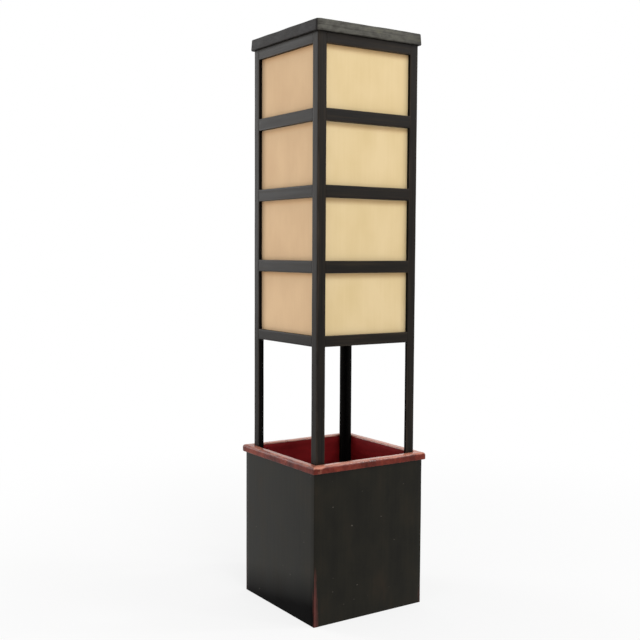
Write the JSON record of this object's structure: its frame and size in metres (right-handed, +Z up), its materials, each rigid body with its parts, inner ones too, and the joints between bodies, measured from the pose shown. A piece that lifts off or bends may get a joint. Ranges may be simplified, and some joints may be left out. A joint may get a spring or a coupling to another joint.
{
  "type": "floor lamp",
  "caption": "Andon floor lamp: a tall square paper lantern with a lift-off roof, on corner posts that stand in an open red-rimmed box.",
  "frame": {"origin": "centre of the box's footprint, on the floor", "axes": "+Z up; -Y is the front, the side of the switch knob; +Y is the back, the side of the cord outlet; +X is to the right seen from the front"},
  "size_m": [0.356, 0.356, 1.5],
  "materials": {
    "frame_lacquer": "black stained and lacquered wood, satin",
    "cap_lacquer": "dark grey-black stained wood, open grain, satin",
    "bar_lacquer": "black stained wood",
    "box_lacquer": "black-brown lacquer over red outside, deep red lacquer inside",
    "rim_lacquer": "red-brown lacquer, worn on its edges",
    "floor_board": "board, deep red lacquer on its upper face",
    "plain_wood": "bare planed wood",
    "washi_paper": "cream tan mulberry paper, matt",
    "screw_steel": "zinc plated steel",
    "threaded_steel": "zinc plated steel",
    "grommet_rubber": "black rubber",
    "holder_brass": "spun brass, satin",
    "liner_board": "pressed insulating board",
    "switch_phenolic": "moulded phenolic, matt",
    "knob_plastic": "black moulded plastic",
    "bulb_glass": "frosted glass",
    "bulb_cap_metal": "pressed aluminium",
    "bulb_insulator_glass": "black vitrified glass",
    "bulb_contact_metal": "tinned contact"
  },
  "bodies": {
    "tower": {"post_front_left": "frame_lacquer", "post_front_right": "frame_lacquer", "post_back_right": "frame_lacquer", "post_back_left": "frame_lacquer", "rail_front_1": "frame_lacquer", "rail_right_1": "frame_lacquer", "rail_back_1": "frame_lacquer", "rail_left_1": "frame_lacquer", "rail_front_2": "frame_lacquer", "rail_right_2": "frame_lacquer", "rail_back_2": "frame_lacquer", "rail_left_2": "frame_lacquer", "rail_front_3": "frame_lacquer", "rail_right_3": "frame_lacquer", "rail_back_3": "frame_lacquer", "rail_left_3": "frame_lacquer", "rail_front_4": "frame_lacquer", "rail_right_4": "frame_lacquer", "rail_back_4": "frame_lacquer", "rail_left_4": "frame_lacquer", "rail_front_5": "frame_lacquer", "rail_right_5": "frame_lacquer", "rail_back_5": "frame_lacquer", "rail_left_5": "frame_lacquer", "paper_front": "washi_paper", "paper_right": "washi_paper", "paper_back": "washi_paper", "paper_left": "washi_paper", "box_wall_front": "box_lacquer", "box_wall_right": "box_lacquer", "box_wall_back": "box_lacquer", "box_wall_left": "box_lacquer", "box_rim_front": "rim_lacquer", "box_rim_right": "rim_lacquer", "box_rim_back": "rim_lacquer", "box_rim_left": "rim_lacquer", "floor_cleats": "plain_wood", "box_floor": "floor_board", "lamp_bar": "bar_lacquer", "leg_screws": "screw_steel", "cord_grommet": "grommet_rubber", "nipple": "threaded_steel", "locknut": "threaded_steel", "holder_cap": "holder_brass", "holder_shell": "holder_brass", "screw_shell": "holder_brass", "centre_contact": "holder_brass", "holder_liner": "liner_board", "switch_body": "switch_phenolic"},
    "roof": {"roof_cap": "cap_lacquer", "cap_cleats": "plain_wood", "cap_cleat_screws": "screw_steel"},
    "knob": {"switch_knob": "knob_plastic"},
    "bulb_foot": {"bulb_contact": "bulb_contact_metal"},
    "bulb": {"bulb_glass": "bulb_glass", "bulb_cap": "bulb_cap_metal", "bulb_insulator": "bulb_insulator_glass"}
  },
  "joints": [
    {"name": "roof_lift", "type": "slide", "parent": "tower", "child": "roof", "axis": [0, 0, 1], "range_m": [0, 0.15]},
    {"name": "knob_turn", "type": "hinge", "parent": "tower", "child": "knob", "pos_m": [0, -0.02, 0.75103], "axis": [0, -1, 0], "continuous": true},
    {"name": "bulb_rise", "type": "slide", "parent": "tower", "child": "bulb_foot", "axis": [0, 0, 1], "range_m": [0, 0.01824]},
    {"name": "bulb_turn", "type": "hinge", "parent": "bulb_foot", "child": "bulb", "pos_m": [0, 0, 0.78], "axis": [0, 0, 1], "range_deg": [0, 1800]}
  ],
  "couplings": [
    {"joint": "bulb_rise", "follows": "bulb_turn", "m_per_rad": 0.00057757}
  ]
}
